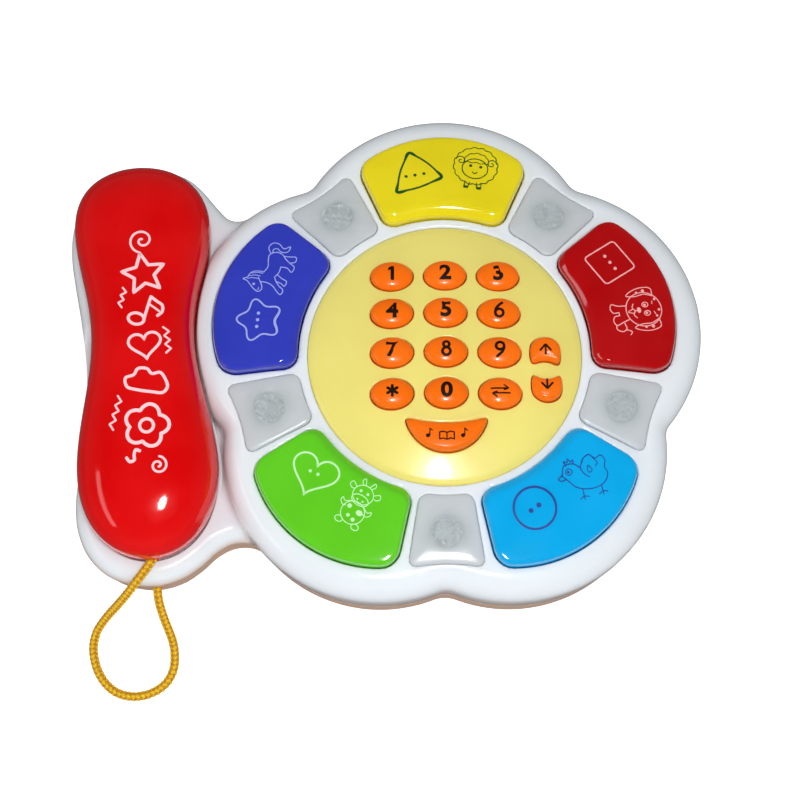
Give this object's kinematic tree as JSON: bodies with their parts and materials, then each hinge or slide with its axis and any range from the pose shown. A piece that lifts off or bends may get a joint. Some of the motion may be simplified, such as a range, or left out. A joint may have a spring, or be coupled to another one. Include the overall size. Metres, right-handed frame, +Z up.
{
  "type": "toy desk telephone",
  "caption": "Toy desk telephone: flower-shaped base with a domed number pad, picture buttons, light windows and a corded handset in a cradle.",
  "frame": {"origin": "middle of the footprint's box, on the surface the telephone stands on (cord left out)", "axes": "+Z up, +Y to the back of the telephone (top of the number pad), +X to the right, the handset on the -X side"},
  "size_m": [0.2356, 0.2161, 0.0502],
  "materials": {
    "white_gloss": "glossy moulded ABS",
    "white_lower": "satin moulded ABS",
    "pale_yellow": "glossy moulded ABS",
    "button_yellow": "glossy, printed",
    "button_red": "glossy, printed",
    "button_blue": "glossy, printed",
    "button_green": "glossy, printed",
    "button_purple": "glossy, printed",
    "frosted_clear": "frosted translucent, faceted underneath",
    "key_orange": "glossy, printed",
    "silicone": "matte silicone",
    "circuit_board": "solder mask",
    "led_resin": "clear tinted resin",
    "speaker_body": "black cone, steel basket",
    "battery_sleeve": "printed sleeve",
    "plated_steel": "nickel plated",
    "screw_steel": "zinc plated",
    "switch_black": "textured",
    "handset_red": "high gloss, printed",
    "cord_yellow": "braided nylon"
  },
  "bodies": {
    "base": {"base_top_shell": "white_gloss", "base_bottom_shell": "white_lower", "keypad_bezel": "pale_yellow", "light_lens_1": "frosted_clear", "light_lens_2": "frosted_clear", "light_lens_3": "frosted_clear", "light_lens_4": "frosted_clear", "light_lens_5": "frosted_clear", "keypad_rubber_mat": "silicone", "main_pcb": "circuit_board", "led_1": "led_resin", "led_2": "led_resin", "led_3": "led_resin", "led_4": "led_resin", "led_5": "led_resin", "speaker": "speaker_body", "battery_1": "battery_sleeve", "battery_2": "battery_sleeve", "battery_3": "battery_sleeve", "battery_contact_plus": "plated_steel", "battery_contact_spring": "plated_steel", "case_screw_1": "screw_steel", "case_screw_2": "screw_steel", "case_screw_3": "screw_steel", "case_screw_4": "screw_steel", "case_screw_5": "screw_steel", "case_screw_6": "screw_steel", "case_screw_7": "screw_steel", "tether_cord": "cord_yellow", "cord_knot_base": "cord_yellow"},
    "handset": {"handset_back_shell": "handset_red", "handset_front_shell": "handset_red", "handset_screw_1": "screw_steel", "handset_screw_2": "screw_steel", "cord_knot_handset": "cord_yellow"},
    "battery_cover": {"battery_cover": "white_lower", "battery_cover_screw": "screw_steel"},
    "power_switch": {"power_switch": "switch_black"},
    "button_yellow": {"petal_button_yellow": "button_yellow"},
    "button_red": {"petal_button_red": "button_red"},
    "button_blue": {"petal_button_blue": "button_blue"},
    "button_green": {"petal_button_green": "button_green"},
    "button_purple": {"petal_button_purple": "button_purple"},
    "key_1": {"key_1": "key_orange"},
    "key_2": {"key_2": "key_orange"},
    "key_3": {"key_3": "key_orange"},
    "key_4": {"key_4": "key_orange"},
    "key_5": {"key_5": "key_orange"},
    "key_6": {"key_6": "key_orange"},
    "key_7": {"key_7": "key_orange"},
    "key_8": {"key_8": "key_orange"},
    "key_9": {"key_9": "key_orange"},
    "key_star": {"key_star": "key_orange"},
    "key_0": {"key_0": "key_orange"},
    "key_mode": {"key_mode": "key_orange"},
    "key_up": {"key_up": "key_orange"},
    "key_down": {"key_down": "key_orange"},
    "key_smile": {"key_smile": "key_orange"}
  },
  "joints": [
    {"name": "handset_lift", "type": "slide", "parent": "base", "child": "handset", "axis": [0, 0, 1], "range_m": [0, 0.06]},
    {"name": "battery_cover_off", "type": "slide", "parent": "base", "child": "battery_cover", "axis": [0, 0, -1], "range_m": [0, 0.03]},
    {"name": "power_switch_slide", "type": "slide", "parent": "base", "child": "power_switch", "axis": [1, 0, 0], "range_m": [0, 0.007]},
    {"name": "press_button_yellow", "type": "slide", "parent": "base", "child": "button_yellow", "axis": [0, 0, -1], "range_m": [0, 0.002], "stiffness_N_per_m": 600, "springref_m": -0.001},
    {"name": "press_button_red", "type": "slide", "parent": "base", "child": "button_red", "axis": [0, 0, -1], "range_m": [0, 0.002], "stiffness_N_per_m": 600, "springref_m": -0.001},
    {"name": "press_button_blue", "type": "slide", "parent": "base", "child": "button_blue", "axis": [0, 0, -1], "range_m": [0, 0.002], "stiffness_N_per_m": 600, "springref_m": -0.001},
    {"name": "press_button_green", "type": "slide", "parent": "base", "child": "button_green", "axis": [0, 0, -1], "range_m": [0, 0.002], "stiffness_N_per_m": 600, "springref_m": -0.001},
    {"name": "press_button_purple", "type": "slide", "parent": "base", "child": "button_purple", "axis": [0, 0, -1], "range_m": [0, 0.002], "stiffness_N_per_m": 600, "springref_m": -0.001},
    {"name": "press_key_1", "type": "slide", "parent": "base", "child": "key_1", "axis": [0, 0, -1], "range_m": [0, 0.0012], "stiffness_N_per_m": 500, "springref_m": -0.0008},
    {"name": "press_key_2", "type": "slide", "parent": "base", "child": "key_2", "axis": [0, 0, -1], "range_m": [0, 0.0012], "stiffness_N_per_m": 500, "springref_m": -0.0008},
    {"name": "press_key_3", "type": "slide", "parent": "base", "child": "key_3", "axis": [0, 0, -1], "range_m": [0, 0.0012], "stiffness_N_per_m": 500, "springref_m": -0.0008},
    {"name": "press_key_4", "type": "slide", "parent": "base", "child": "key_4", "axis": [0, 0, -1], "range_m": [0, 0.0012], "stiffness_N_per_m": 500, "springref_m": -0.0008},
    {"name": "press_key_5", "type": "slide", "parent": "base", "child": "key_5", "axis": [0, 0, -1], "range_m": [0, 0.0012], "stiffness_N_per_m": 500, "springref_m": -0.0008},
    {"name": "press_key_6", "type": "slide", "parent": "base", "child": "key_6", "axis": [0, 0, -1], "range_m": [0, 0.0012], "stiffness_N_per_m": 500, "springref_m": -0.0008},
    {"name": "press_key_7", "type": "slide", "parent": "base", "child": "key_7", "axis": [0, 0, -1], "range_m": [0, 0.0012], "stiffness_N_per_m": 500, "springref_m": -0.0008},
    {"name": "press_key_8", "type": "slide", "parent": "base", "child": "key_8", "axis": [0, 0, -1], "range_m": [0, 0.0012], "stiffness_N_per_m": 500, "springref_m": -0.0008},
    {"name": "press_key_9", "type": "slide", "parent": "base", "child": "key_9", "axis": [0, 0, -1], "range_m": [0, 0.0012], "stiffness_N_per_m": 500, "springref_m": -0.0008},
    {"name": "press_key_star", "type": "slide", "parent": "base", "child": "key_star", "axis": [0, 0, -1], "range_m": [0, 0.0012], "stiffness_N_per_m": 500, "springref_m": -0.0008},
    {"name": "press_key_0", "type": "slide", "parent": "base", "child": "key_0", "axis": [0, 0, -1], "range_m": [0, 0.0012], "stiffness_N_per_m": 500, "springref_m": -0.0008},
    {"name": "press_key_mode", "type": "slide", "parent": "base", "child": "key_mode", "axis": [0, 0, -1], "range_m": [0, 0.0012], "stiffness_N_per_m": 500, "springref_m": -0.0008},
    {"name": "press_key_up", "type": "slide", "parent": "base", "child": "key_up", "axis": [0, 0, -1], "range_m": [0, 0.0012], "stiffness_N_per_m": 500, "springref_m": -0.0008},
    {"name": "press_key_down", "type": "slide", "parent": "base", "child": "key_down", "axis": [0, 0, -1], "range_m": [0, 0.0012], "stiffness_N_per_m": 500, "springref_m": -0.0008},
    {"name": "press_key_smile", "type": "slide", "parent": "base", "child": "key_smile", "axis": [0, 0, -1], "range_m": [0, 0.0012], "stiffness_N_per_m": 500, "springref_m": -0.0008}
  ]
}
